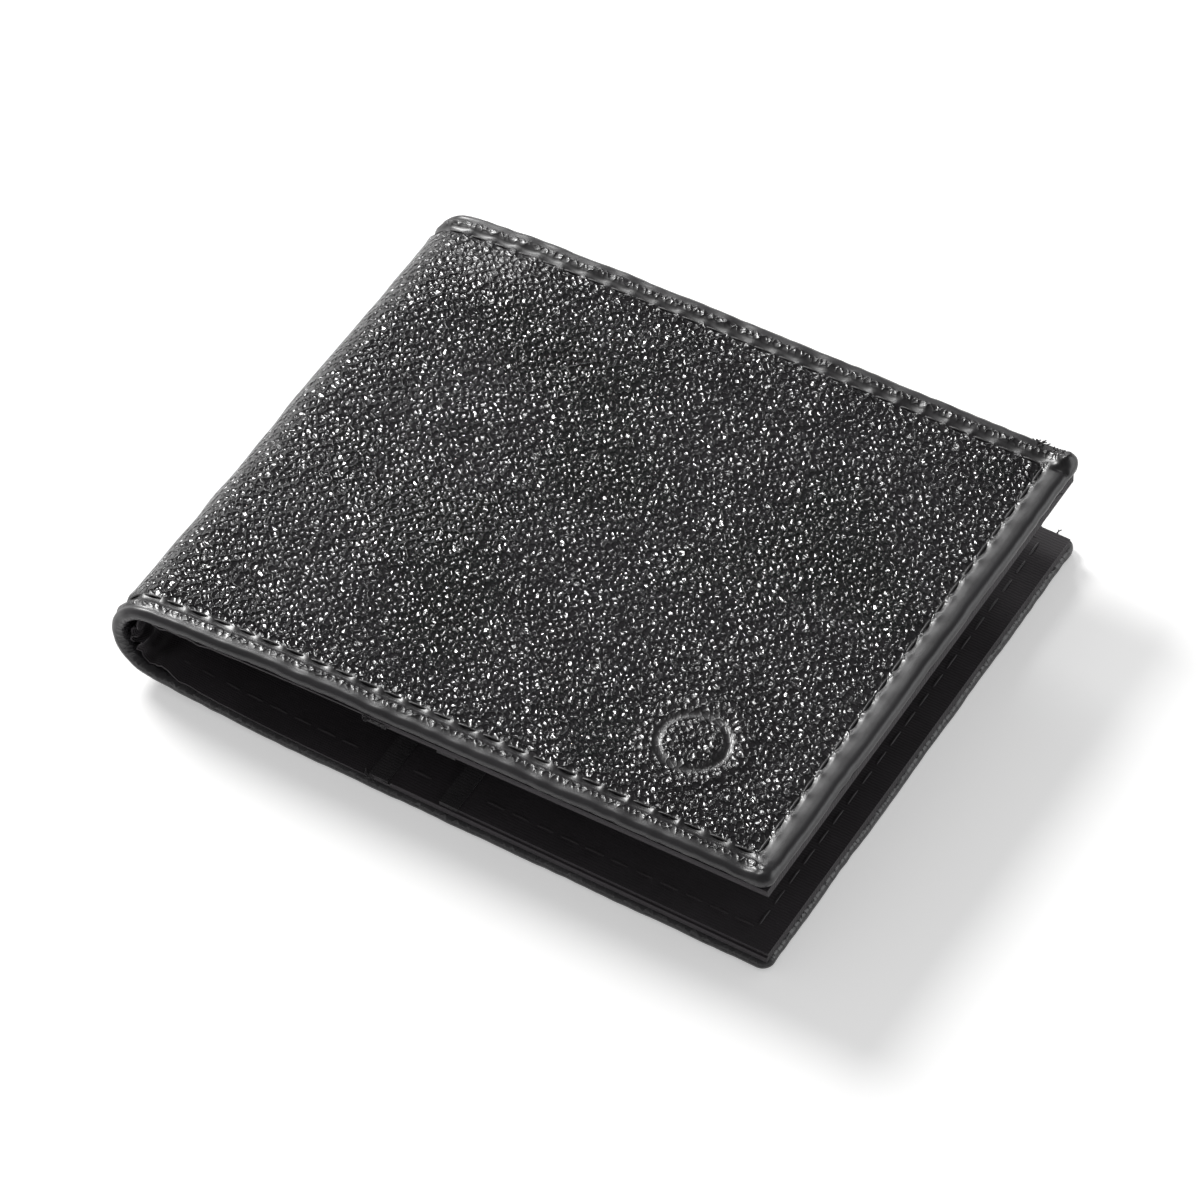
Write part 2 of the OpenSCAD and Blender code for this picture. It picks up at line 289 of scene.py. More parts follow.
class Net:
    """A tree of nodes while it is being wired."""

    def __init__(self, tree):
        self.tree = tree

    def add(self, kind, settings=None, sockets=None, out=0):
        """Adds a node: its settings first, then the values or links of its sockets."""
        node = self.tree.nodes.new(kind)
        for key, value in (settings or {}).items():
            setattr(node, key, value)
        for key, value in (sockets or {}).items():
            if isinstance(value, Val):
                self.tree.links.new(value.socket, node.inputs[key])
            else:
                node.inputs[key].default_value = value
        return Val(self, node.outputs[out]) if len(node.outputs) else node

    def split(self, vector):
        """The three parts of a vector."""
        parts = self.add("ShaderNodeSeparateXYZ", {}, {0: vector})
        return [Val(self, output) for output in parts.socket.node.outputs]

    def step(self, value, low, high, start=0.0, end=1.0):
        """A smooth step of value from low to high."""
        return self.add(
            "ShaderNodeMapRange",
            {"interpolation_type": "SMOOTHSTEP"},
            {0: value, 1: low, 2: high, 3: start, 4: end},
        )

    def blend(self, factor, low, high):
        """A colour between two others."""
        return self.add("ShaderNodeMix", {"data_type": "RGBA"}, {0: factor, 6: low, 7: high}, out=2)

    def scaled(self, vector, factor):
        """A vector made longer or shorter."""
        return self.add("ShaderNodeVectorMath", {"operation": "SCALE"}, {0: vector, 3: factor})

    def moved(self, vector, by):
        """A vector with another added."""
        return self.add("ShaderNodeVectorMath", {"operation": "ADD"}, {0: vector, 1: by})

    def noise(self, vector, scale, detail=2.0, rough=0.5):
        """Soft noise from 0 to 1."""
        sockets = {"Vector": vector, "Scale": scale, "Detail": detail, "Roughness": rough}
        return self.add("ShaderNodeTexNoise", {}, sockets)

    def bump(self, height, distance):
        """The normal of a surface raised by height times distance."""
        return self.add("ShaderNodeBump", {}, {"Height": height, "Distance": distance, "Strength": 1.0})


def shade(colour, factor=1.0):
    """A colour made lighter or darker, with its alpha."""
    return tuple(min(1.0, part * factor) for part in colour) + (1.0,)


def new_finish(name):
    """An empty material, and its tree to be wired."""
    finish = bpy.data.materials.new(name)
    finish.use_nodes = True
    finish.node_tree.nodes.clear()
    return finish, Net(finish.node_tree)


def close_finish(net, sockets):
    """Adds the shader and the output."""
    shader = net.add("ShaderNodeBsdfPrincipled", {}, sockets)
    net.add("ShaderNodeOutputMaterial", {}, {"Surface": shader})


def lay_millimetres(net):
    """Where a point lies on the flat cloth or leather, in millimetres."""
    return net.scaled(net.add("ShaderNodeUVMap", {"uv_map": "lay"}), UV_UNIT / MM)


def leather_finish(name, sizes, colours):
    """Black leather whose fine pebbles lie in slanting rows and die away where the leather is smooth; its
    colour is painted darker in the pebbles' valleys as shade, and a little lighter on the worn tops.
    """
    finish, net = new_finish(name)
    lay = lay_millimetres(net)
    grain = net.add("ShaderNodeAttribute", {"attribute_name": "grain"}, {}, out="Fac")
    edge = net.add("ShaderNodeAttribute", {"attribute_name": "edge_mm"}, {}, out="Fac")
    drift = net.add("ShaderNodeTexNoise", {}, {"Vector": lay, "Scale": 0.5, "Detail": 2.0}, out="Color")
    bent = net.moved(lay, net.scaled(drift, 1.3))
    turned = {"Vector": bent, "Angle": sizes.row_turn}
    rows = net.add("ShaderNodeVectorRotate", {"rotation_type": "Z_AXIS"}, turned)
    rows = net.add("ShaderNodeVectorMath", {"operation": "MULTIPLY"}, {0: rows, 1: (0.7, 1.05, 1.0)})
    per_mm = MM / sizes.pebble
    flat = {"Vector": rows, "Scale": per_mm, "Randomness": 0.68}
    near = net.add("ShaderNodeTexVoronoi", {"voronoi_dimensions": "2D", "feature": "F1"}, flat)
    rim = net.add("ShaderNodeTexVoronoi", {"voronoi_dimensions": "2D", "feature": "DISTANCE_TO_EDGE"}, flat)
    dome = (1.0 - near * near * 1.8).at_least(0.0)
    pebble = net.step(rim, 0.0, 0.16) * 0.2 + dome * 0.8
    fine = net.noise(lay, 3.6, 3.0, 0.6)
    broad = net.noise(lay, 0.045, 2.0)
    patch = net.noise(lay, 0.14, 2.0)
    uneven = net.noise(rows, 0.9 * per_mm, 1.0)
    amount = grain * net.step(patch, 0.3, 0.7, 0.75, 1.1) * net.step(uneven, 0.3, 0.7, 0.8, 1.12)
    height = pebble * amount + fine * 0.015
    # Painted shade: the colour darkens from the pebbles' tops into their valleys, and the tops are a little
    # lighter as wear
    tone = net.blend(pebble * 0.8 + fine * 0.2, shade(colours.leather_valley_shade), shade(colours.leather))
    tone = net.blend(net.step(edge, 0.9, 2.0, 0.8, 0.0), tone, shade(colours.edge))
    tone = net.scaled(tone, net.step(broad, 0.3, 0.7, 0.82, 1.15))
    rough = 0.4 - grain * (0.15 + pebble * 0.11) + (fine - 0.5) * 0.05 + (broad - 0.5) * 0.04
    close_finish(
        net,
        {
            "Base Color": tone,
            "Roughness": rough,
            "Specular IOR Level": 0.5,
            "Normal": net.bump(height, sizes.pebble_h),
        },
    )
    return finish


def cloth_finish(name, colour, rib, depth, contrast):
    """Ribbed cloth: ribs along the wallet, crossed by finer threads."""
    finish, net = new_finish(name)
    lay = lay_millimetres(net)
    along, across, _ = net.split(lay)
    wander = net.noise(lay, 0.8, 2.0) * 0.35
    wave = ((across + wander) * (2 * math.pi * MM / rib)).sine() * 0.5 + 0.5
    cross = ((along + wander) * (2 * math.pi * MM / rib * 1.9)).sine() * 0.5 + 0.5
    fuzz = net.noise(lay, 5.0, 3.0, 0.7)
    broad = net.noise(lay, 0.12, 2.0)
    height = wave * 0.7 + cross * 0.2 + fuzz * 0.25
    mix = wave * 0.4 + fuzz * 0.2 + net.step(broad, 0.3, 0.7) * 0.4
    tone = net.blend(mix, shade(colour, 1 - contrast), shade(colour, 1 + contrast))
    close_finish(
        net,
        {
            "Base Color": tone,
            "Roughness": 0.78 + (fuzz - 0.5) * 0.2,
            "Specular IOR Level": 0.3,
            "Sheen Weight": 0.08,
            "Sheen Roughness": 0.5,
            "Normal": net.bump(height, depth),
        },
    )
    return finish


def thread_finish(name, colour, rough):
    """Waxed thread with its strands just showing."""
    finish, net = new_finish(name)
    place = net.scaled(net.add("ShaderNodeTexCoord", {}, {}, out="Object"), 1 / MM)
    strand = net.noise(place, 4.5, 3.0, 0.6)
    dust = net.noise(place, 0.4, 2.0)
    tone = net.blend(strand * 0.7 + dust * 0.3, shade(colour, 0.55), shade(colour, 1.4))
    close_finish(
        net,
        {
            "Base Color": tone,
            "Roughness": rough + (strand - 0.5) * 0.2,
            "Normal": net.bump(strand, 0.05 * MM),
        },
    )
    return finish


def board_finish(name, colour):
    """Bonded board with pressed fibres."""
    finish, net = new_finish(name)
    lay = lay_millimetres(net)
    fibre = net.noise(lay, 1.6, 5.0, 0.7)
    cloud = net.noise(lay, 0.2, 3.0)
    tone = net.blend(fibre * 0.6 + cloud * 0.4, shade(colour, 0.6), shade(colour))
    rough = 0.8 + (fibre - 0.5) * 0.15
    close_finish(net, {"Base Color": tone, "Roughness": rough, "Normal": net.bump(fibre, 0.05 * MM)})
    return finish


def floor_finish(name, colour, glow):
    """Matt white floor."""
    finish, net = new_finish(name)
    place = net.add("ShaderNodeTexCoord", {}, {}, out="Object")
    mottle = net.noise(place, 9.0, 2.0)
    tone = net.blend(mottle, shade(colour, 0.985), shade(colour))
    close_finish(
        net,
        {
            "Base Color": tone,
            "Roughness": 0.85 + (mottle - 0.5) * 0.04,
            "Specular IOR Level": 0.1,
            "Emission Color": tone,
            "Emission Strength": glow,
        },
    )
    return finish


def finish_named(name, make, *given):
    """A material by name, made when it is first wanted."""
    return bpy.data.materials.get(name) or make(name, *given)


# ---- The line that the leather follows ----


def ripple(a, b, size, seed):
    """Smooth unevenness, about -1 to 1, whose waves are about size long."""
    dice = np.random.default_rng(seed)
    total = 0.0
    for _ in range(9):
        turn = dice.uniform(0, 2 * math.pi)
        wave = 2 * math.pi / (size * dice.uniform(0.7, 1.5))
        shift = dice.uniform(0, 2 * math.pi)
        total = total + np.sin(wave * (a * math.cos(turn) + b * math.sin(turn)) + shift)
    return total / 4.0


def soft(value, low, high):
    """Smooth step from 0 at low to 1 at high."""
    t = np.clip((value - low) / (high - low), 0, 1)
    return t * t * (3 - 2 * t)


def hump(value, width):
    """A rounded hump of height 1 at value 0."""
    return np.exp(-((value / width) ** 2))


def groove(edge, form, extra=0.0):
    """A groove along the edge, or a ridge: how deep, how far in and how wide."""
    depth, place, width = form
    return (depth + extra) * hump(edge - place, width)


def spaced(start, stop, step):
    """Even places after start, up to stop."""
    count = max(1, math.ceil((stop - start) / step - 1e-6))
    return list(np.linspace(start, stop, count + 1)[1:])


def from_to(start, *runs):
    """Places from start on, for runs that each give their stop and step."""
    places = [start]
    for stop, step in runs:
        places += spaced(places[-1], stop, step)
    return np.array(places)


def joined(*rows):
    """Rows of stitches put together, as their points, aims and faces."""
    return tuple(np.concatenate(same) for same in zip(*rows))


class FaceLine:
    """The cover's outer face, seen from the foot. It runs from the lower leaf's open edge
    round the spine to the upper leaf's, and a place on the wallet is (along, across, depth)."""

    STEP = 0.05 * MM

    def __init__(self, sizes):
        self.sizes = sizes
        straight, radius, rest = 70 * MM, 7.7 * MM, 70 * MM
        # The three sizes settle within a few rounds, until the line fills the box of the cover
        for _ in range(12):
            self._draw(straight, radius, rest)
            straight += self.x.min() - CAD_BOX[0][0]
            radius += (CAD_BOX[1][2] - self.z[-1]) / 2
            rest += UPPER_BOX[1][0] - self.x[-1]
        self._draw(straight, radius, rest)
        self.total = float(self.s[-1])
        joints = sorted(frame["joints"], key=lambda joint: FOLD_BODIES.index(joint["child"]))
        self.strips = self._strips([Vector(joint["pos_m"]) for joint in joints])
        self.middle = (self.strips[0] + self.strips[3]) / 2
        leaf, fold = sizes.stitches_along, sizes.stitches_fold
        self.seam_knots = [sizes.seam_inset, self.strips[0], self.strips[3], self.total - sizes.seam_inset]
        self.seam_counts = [0, leaf, leaf + fold, 2 * leaf + fold]

    def _draw(self, straight, radius, rest):
        """Draws the line for a lower leaf, a fold and an upper leaf of given sizes."""
        sizes = self.sizes
        low, high, end = sizes.lower_lift, sizes.upper_lift, sizes.end_tilt
        bends = [
            (straight, 0.0),
            (sizes.ease, low),
            (radius * (math.pi - low - high), math.pi - low - high),
            (sizes.ease, high - end),
            (rest, 0.0),
        ]
        total = sum(length for length, _ in bends)
        count = int(round(total / self.STEP))
        step = total / count
        middle = (np.arange(count) + 0.5) * step
        rate, start = np.zeros(count), 0.0
        for length, turn in bends:
            rate[(middle >= start) & (middle < start + length)] = turn / length
            start += length
        width = int(round(3 * MM / step))
        rate = np.convolve(rate, np.ones(width) / width, mode="same")
        heading = np.cumsum(rate) * step
        self.s = np.arange(count + 1) * step
        self.heading = np.concatenate([[0.0], heading])
        mid = (self.heading[1:] + self.heading[:-1]) / 2
        self.x = LOWER_BOX[1][0] - np.concatenate([[0.0], np.cumsum(np.cos(mid)) * step])
        self.z = CAD_BOX[0][2] + np.concatenate([[0.0], np.cumsum(np.sin(mid)) * step])

    def _strips(self, pins):
        """Where the three strips of the fold begin and end, each with its joint in the middle."""
        found = [self.nearest(pin) for pin in pins]
        first = (found[1] - found[0]) / 2
        last = (found[2] - found[1]) / 2
        return [found[0] - first, found[0] + first, found[2] - last, found[2] + last]

    def nearest(self, point):
        """The place along the line that is nearest to a point."""
        return float(self.s[np.argmin((self.x - point.x) ** 2 + (self.z - point.z) ** 2)])

    def place(self, along, across, depth):
        """Points in the frame, for places on the wallet."""
        along, across, depth = np.broadcast_arrays(along, across, depth)
        heading = np.interp(along, self.s, self.heading)
        x = np.interp(along, self.s, self.x) + np.sin(heading) * depth
        z = np.interp(along, self.s, self.z) + np.cos(heading) * depth
        return np.stack([x, FOOT_Y + across, z], axis=-1)

    def facing(self, along):
        """The direction along the line, and the one out of the leather."""
        heading = np.interp(along, self.s, self.heading)
        zero = np.zeros_like(heading)
        forward = np.stack([-np.cos(heading), zero, np.sin(heading)], axis=-1)
        outward = np.stack([-np.sin(heading), zero, -np.cos(heading)], axis=-1)
        return forward, outward

    def stitch_run(self, along):
        """The number of stitches passed along the foot or the head."""
        return np.interp(along, self.seam_knots, self.seam_counts)

    def stitch_places(self, first, last):
        """Where the stitches numbered first to last lie along the line."""
        return np.interp(np.arange(first, last) + 0.5, self.seam_counts, self.seam_knots)

    def on_leaf(self, leaf, places):
        """Places measured from a leaf's open edge, in the order of the line."""
        return places if leaf == "lower" else self.total - places[::-1]


# ---- Meshes ----


def shown(name, data, place=(0.0, 0.0, 0.0), aim=None):
    """A new object in the scene, with its z axis along aim if one is given."""
    item = bpy.data.objects.new(name, data)
    item.location = place
    if aim is not None:
        item.rotation_mode = "QUATERNION"
        item.rotation_quaternion = aim.to_track_quat("Z", "Y")
    bpy.context.scene.collection.objects.link(item)
    return item


def mesh_of(name, points, faces, uv=None, marks=None, normals=None, finish=None, sharp=None):
    """A piece at the origin, with its place in its mesh."""
    mesh = bpy.data.meshes.new(name)
    mesh.from_pydata(points.tolist(), [], faces)
    mesh.update()
    if uv is not None:
        layer = mesh.uv_layers.new(name="lay")
        corner = np.empty(len(mesh.loops), np.int32)
        mesh.loops.foreach_get("vertex_index", corner)
        layer.data.foreach_set("uv", (uv[corner] / UV_UNIT).astype(np.float32).ravel())
    for key, values in (marks or {}).items():
        mark = mesh.attributes.new(key, "FLOAT", "POINT")
        mark.data.foreach_set("value", values.astype(np.float32))
    mesh.polygons.foreach_set("use_smooth", np.ones(len(mesh.polygons), bool))
    if sharp is not None:
        mesh.set_sharp_from_angle(angle=sharp)
    if normals is not None:
        mesh.normals_split_custom_set_from_vertices(normals.tolist())
    if finish is not None:
        mesh.materials.append(finish)
    return shown(name, mesh)


def grid_faces(index, flip):
    """Four-sided faces over a grid of vertex numbers."""
    quads = np.stack([index[:-1, :-1], index[1:, :-1], index[1:, 1:], index[:-1, 1:]], axis=-1)
    quads = quads.reshape(-1, 4)
    return quads[:, ::-1] if flip else quads


def band_faces(first, second, flip):
    """Four-sided faces between two rows of vertex numbers."""
    return grid_faces(np.stack([first, second]), flip)


def sheet_mesh(name, line, along, across, low, high, finish, wave=None, slide=None):
    """A closed thin sheet between two depths, laid along the wallet's line."""
    a, b = np.meshgrid(along, across, indexing="ij")
    lift = wave(a, b) if wave else 0.0
    shift = slide(a, b) if slide else 0.0
    outer = line.place(a, b + shift, low + lift).reshape(-1, 3)
    inner = line.place(a, b + shift, high + lift).reshape(-1, 3)
    count = a.size
    top = np.arange(count).reshape(a.shape)
    under = top + count
    faces = np.concatenate(
        [
            grid_faces(top, True),
            grid_faces(under, False),
            band_faces(top[0], under[0], False),
            band_faces(top[-1], under[-1], True),
            band_faces(top[:, 0], under[:, 0], True),
            band_faces(top[:, -1], under[:, -1], False),
        ]
    )
    flat = np.stack([a, b], axis=-1).reshape(-1, 2)
    return mesh_of(
        name,
        np.concatenate([outer, inner]),
        faces.tolist(),
        uv=np.concatenate([flat, flat]),
        finish=finish,
        sharp=math.radians(50),
    )


def rounded(along, across, total, width, corner):
    """Bends the lines of a rectangle round its four corners."""
    for far in (False, True):
        for head in (False, True):
            a = total - along if far else along
            b = width - across if head else across
            p = np.clip((corner - a) / corner, 0, 1)
            q = np.clip((corner - b) / corner, 0, 1)
            most = np.maximum(p, q)
            least = np.minimum(p, q)
            turn = math.pi / 4 * least / np.maximum(most, 1e-9)
            turn = np.where(p >= q, turn, math.pi / 2 - turn)
            inside = (p > 0) & (q > 0)
            a = np.where(inside, corner * (1 - most * np.cos(turn)), a)
            b = np.where(inside, corner * (1 - most * np.sin(turn)), b)
            along = total - a if far else a
            across = width - b if head else b
    return along, across


class CoverSkin:
    """The whole cover as one net of points, which is then cut at the joints."""

    def __init__(self, line):
        self.line = line
        self.sizes = line.sizes
        self.set_out()
        self.shape()

    def set_out(self):
        """Sets out the net's lines, closer together at the edges, the seams and the ring."""
        sizes, line = self.sizes, self.line
        roll = [sizes.edge_r * (1 - math.cos(k / 6 * math.pi / 2)) for k in range(7)]
        ring = sizes.mark_r + RING_ZONE
        start = roll + spaced(roll[-1], SEAM_ZONE, FINE)
        along = start + spaced(SEAM_ZONE, line.strips[0], COARSE)
        self.cuts = [0, len(along) - 1]
        for low, high in zip(line.strips, line.strips[1:]):
            along += spaced(low, high, IN_FOLD)
            self.cuts.append(len(along) - 1)
        along += self.past_ring(line.strips[3], line.total - sizes.mark_from_open, ring, line.total, roll)
        self.cuts.append(len(along) - 1)
        across = start + self.past_ring(SEAM_ZONE, sizes.mark_from_foot, ring, WALLET_H, roll)
        self.along = np.array(along)
        self.across = np.array(across)

    def past_ring(self, start, middle, ring, stop, roll):
        """Places from start, past the ring, to the rolled edge at stop."""
        low, high = middle - ring, middle + ring
        places = spaced(start, low, COARSE) + spaced(low, high, FINE) + spaced(high, stop - SEAM_ZONE, COARSE)
        return places + spaced(stop - SEAM_ZONE, stop - roll[-1], FINE) + [stop - r for r in roll[-2::-1]]

    def seam_press(self, off, run, ends):
        """How far a seam presses the leather in, by the distance from its line."""
        full = np.abs(np.sin(math.pi * run)) ** 0.75
        uneven = 1 + 0.3 * np.sin(run * 2.3 + 1) * np.sin(run * 0.71)
        hollow = self.sizes.seam_depth * hump(off, HOLLOW_W) * (0.1 + 0.9 * full) * uneven
        valley = groove(off, VALLEY) * (0.3 + 0.7 * full)
        pucker = groove(off, PUCKER) * (1 - full) ** 2
        return (hollow + valley - pucker) * ends

    def press(self, a, b, edge):
        """Everything that dents or raises the outer face; inwards is positive."""
        sizes, line = self.sizes, self.line
        total, inset = line.total, sizes.seam_inset
        side_a, side_b = np.minimum(a, total - a), np.minimum(b, WALLET_H - b)
        long_side = soft(side_a - side_b, -0.6 * MM, 0.6 * MM)
        long_run = line.stitch_run(a)
        short_run = (b - inset) / (WALLET_H - 2 * inset) * sizes.stitches_across
        in_long = soft(side_a, inset - 0.5 * MM, inset)
        in_short = soft(side_b, inset - 0.5 * MM, inset)
        seams = np.zeros_like(a)
        for off, run, ends in ((side_b - inset, long_run, in_long), (side_a - inset, short_run, in_short)):
            dent = self.seam_press(off, run, ends)
            seams = np.where(np.abs(dent) > np.abs(seams), dent, seams)
        run_mm = np.where(side_b < side_a, a, b)
        wrinkle = ripple(run_mm, edge * 0.4, 1.7 * MM, 21) * 0.06 * MM
        welt = groove(edge, WELT, wrinkle) * long_side
        trough = groove(edge, TROUGH) * long_side + groove(edge, SHORT_TROUGH) * (1 - long_side)
        channel = groove(edge, CHANNEL) * (1 + 0.4 * ripple(a, b, 9 * MM, 22)) * long_side
        lip = groove(edge, LIP) * long_side
        field = soft(edge, 5 * MM, 12 * MM)
        swell = -sizes.swell * (ripple(a, b, 34 * MM, 5) * 0.8 + 0.25 * ripple(a, b, 10 * MM, 6)) * field
        swell = swell - 0.55 * MM * self.by_far_corner(a, b, FAR_SWELL)
        crease = self.creases(a, b) * field
        off = self.ring_off(a, b)
        mark = sizes.mark_depth * (1 - soft(off, -0.3 * MM, 0.35 * MM))
        beside = soft(a - (total - sizes.mark_from_open), -2 * MM, 5 * MM)
        mark = mark - (0.1 + 0.3 * beside) * MM * hump(off - 1.7 * MM, 1.5 * MM)
        mark = mark * (a > total / 2)
        lumps = ripple(a, b, 5 * MM, 31) * (0.03 + 0.06 * long_side) * MM
        lumps = lumps * (1 - soft(edge, 2 * MM, 5 * MM))
        hem = 0.42 * MM * hump(b - (WALLET_H - 4.4 * MM), 0.32 * MM) * (side_a < 5 * MM)
        hem = hem * (1 - soft(edge, 2.2 * MM, 3.2 * MM))
        rise = soft(edge, 0.0, 0.35 * MM)
        self.grain = self.grain_share(a, b, edge, long_side, off, seams)
        whole = seams + welt + trough + channel + lip + swell + crease + mark + lumps
        whole = (whole + hem) * rise - self.nib(a, b)
        clear_of_floor = soft(a, 60 * MM, 84 * MM)
        return np.where(whole < 0, whole * clear_of_floor, whole)

    def by_far_corner(self, a, b, form):
        """A rounded hill near the upper leaf's corner at the fold and the head."""
        past_fold, long, in_from_head, high = form
        return hump(a - self.line.strips[3] - past_fold, long) * hump(WALLET_H - in_from_head - b, high)

    def ring_off(self, a, b):
        """Distance from the line of the pressed ring, below 0 inside the line."""
        sizes = self.sizes
        ring = np.hypot(self.line.total - a - sizes.mark_from_open, b - sizes.mark_from_foot)
        return np.abs(ring - (sizes.mark_r - sizes.mark_w / 2)) - sizes.mark_w / 2

    def grain_share(self, a, b, edge, long_side, off, seams):
        """How much of the pebbled grain shows, from 0 to 1."""
        on_upper = a > self.line.total / 2
        long_grain = 0.55 * hump(edge - 2.35 * MM, 0.45 * MM) + soft(edge, 4.0 * MM, 5.0 * MM)
        short_grain = soft(edge, 3.4 * MM, 4.6 * MM)
        share = long_grain * long_side + short_grain * (1 - long_side)
        share = share * (1 - 0.7 * np.clip(seams / (0.4 * MM), 0, 1))
        pressed = (1 - soft(off, -0.1 * MM, 0.5 * MM)) * on_upper
        worn = 0.45 * hump(a - self.line.middle, 9 * MM)
        worn = worn + 0.5 * self.by_far_corner(a, b, FAR_WORN)
        worn = worn + 0.4 * hump(off - 1.6 * MM, 1.5 * MM) * on_upper
        return share * (1 - 0.85 * pressed) * (1 - np.clip(worn, 0, 0.8))

    def creases(self, a, b):
        """Soft creases beside the fold, nearly in line with it."""
        first, last = self.line.strips[0], self.line.strips[3]
        total = np.zeros_like(a)
        dice = np.random.default_rng(12)
        for _ in range(11):
            upper = dice.uniform() < 0.6
            start = last + dice.uniform(3, 46) * MM if upper else first - dice.uniform(3, 30) * MM
            middle, long = dice.uniform(10, 86) * MM, dice.uniform(7, 22) * MM
            lean, bow = dice.uniform(-0.3, 0.3), dice.uniform(-0.008, 0.008) / MM
            rise = b - middle
            off = a - start - lean * rise - bow * rise * rise
            depth = dice.uniform(0.03, 0.075) * MM
            total += depth * hump(off, dice.uniform(0.5, 0.9) * MM) * hump(rise, long)
        return total

    def nib(self, a, b):
        """The folded tip that stands up at the upper leaf's head corner, and lumps at the others."""
        total = np.zeros_like(a)
        for upper, head, height, wide in NIBS:
            off_a = (self.line.total - a if upper else a) - NIB_IN
            off_b = (WALLET_H - b if head else b) - NIB_IN
            rough = 1 + 0.35 * ripple(a, b, 1.6 * MM, 41 + int(height * 100))
            total += height * MM * hump(np.hypot(off_a, off_b), wide * MM) * rough
        return total

    def shape(self):
        """Gives every point of the net its place, its normal and its marks."""
        sizes, line = self.sizes, self.line
        a, b = np.meshgrid(self.along, self.across, indexing="ij")
        edge = np.minimum(np.minimum(a, line.total - a), np.minimum(b, WALLET_H - b))
        a, b = rounded(a, b, line.total, WALLET_H, sizes.corner_r)
        radius = sizes.edge_r
        roll = radius - np.sqrt(np.clip(radius**2 - np.clip(radius - edge, 0, None) ** 2, 0, None))
        wobble = 1 - soft(edge, 1.0 * MM, 6 * MM)
        from_middle = b - WALLET_H / 2
        sides = np.where(from_middle < 0, -1.0, 1.0) * soft(np.abs(from_middle), 30 * MM, 44 * MM)
        slack = 0.09 * MM * ripple(a, b * 0, 13 * MM, 51) + 0.04 * MM * ripple(a, b * 0, 3.1 * MM, 52)
        across = b + sides * slack * wobble
        from_middle = a - line.total / 2
        ends = np.where(from_middle < 0, -1.0, 1.0) * soft(np.abs(from_middle), 108 * MM, 114 * MM)
        slack = 0.09 * MM * ripple(a * 0, b, 15 * MM, 53) + 0.04 * MM * ripple(a * 0, b, 3.4 * MM, 54)
        along = np.clip(a + ends * slack * wobble, 0, line.total)
        outer = line.place(along, across, roll + self.press(a, b, edge))
        margin = soft(edge, sizes.margin_w - 0.2 * MM, sizes.margin_w + 0.5 * MM)
        back = (2 * radius - roll) * (1 - margin) + sizes.leather_t * margin
        lumps = 0.05 * MM * ripple(a, b, 4 * MM, 55) * soft(edge, 0.0, 1 * MM) * (1 - margin)
        back = back - 0.06 * MM + lumps
        inner = line.place(along, across, back)
        rows, columns = a.shape
        number = np.arange(a.size).reshape(a.shape)
        under = np.full(a.shape, -1)
        under[1:-1, 1:-1] = a.size + np.arange((rows - 2) * (columns - 2)).reshape(rows - 2, columns - 2)
        for side in (np.s_[0, :], np.s_[-1, :], np.s_[:, 0], np.s_[:, -1]):
            under[side] = number[side]
        self.number, self.under = number, under
        self.points = np.concatenate([outer.reshape(-1, 3), inner[1:-1, 1:-1].reshape(-1, 3)])
        flat = np.stack([a, b], axis=-1)
        self.uv = np.concatenate([flat.reshape(-1, 2), flat[1:-1, 1:-1].reshape(-1, 2)])
        mark, share = edge / MM, self.grain
        self.edge = np.concatenate([mark.ravel(), np.minimum(mark, 1.2)[1:-1, 1:-1].ravel()])
        self.share = np.concatenate([share.ravel(), (share * 0 + 0.25)[1:-1, 1:-1].ravel()])
        whole = mesh_of("whole_cover", self.points, self.faces(0, rows - 1, False).tolist())
        mesh = whole.data
        normals = np.empty(len(mesh.vertices) * 3, np.float32)
        mesh.vertex_normals.foreach_get("vector", normals)
        self.normals = normals.reshape(-1, 3)
        bpy.data.objects.remove(whole)
        bpy.data.meshes.remove(mesh)

    def faces(self, first, last, capped):
        """Faces of the rows first to last, closed at the cuts."""
        top = self.number[first : last + 1]
        under = self.under[first : last + 1]
        faces = [grid_faces(top, True), grid_faces(under, False)]
        if capped and first > 0:
            faces.append(band_faces(top[0], under[0], False))
        if capped and last < len(self.along) - 1:
            faces.append(band_faces(top[-1], under[-1], True))
        return np.concatenate(faces)

    def piece(self, name, part, finish):
        """One of the five pieces of the cover."""
        faces = self.faces(self.cuts[part], self.cuts[part + 1], True)
        used, renumbered = np.unique(faces, return_inverse=True)
        faces = renumbered.reshape(faces.shape)
        # A face that has lost a side at the rim keeps each of its points once
        faces = [list(dict.fromkeys(face)) for face in faces.tolist()]
        return mesh_of(
            name,
            self.points[used],
            [face for face in faces if len(face) > 2],
            uv=self.uv[used],
            marks={"edge_mm": self.edge[used], "grain": self.share[used]},
            normals=self.normals[used],
            finish=finish,
        )


# ---- Threads, made by a tree of geometry nodes ----


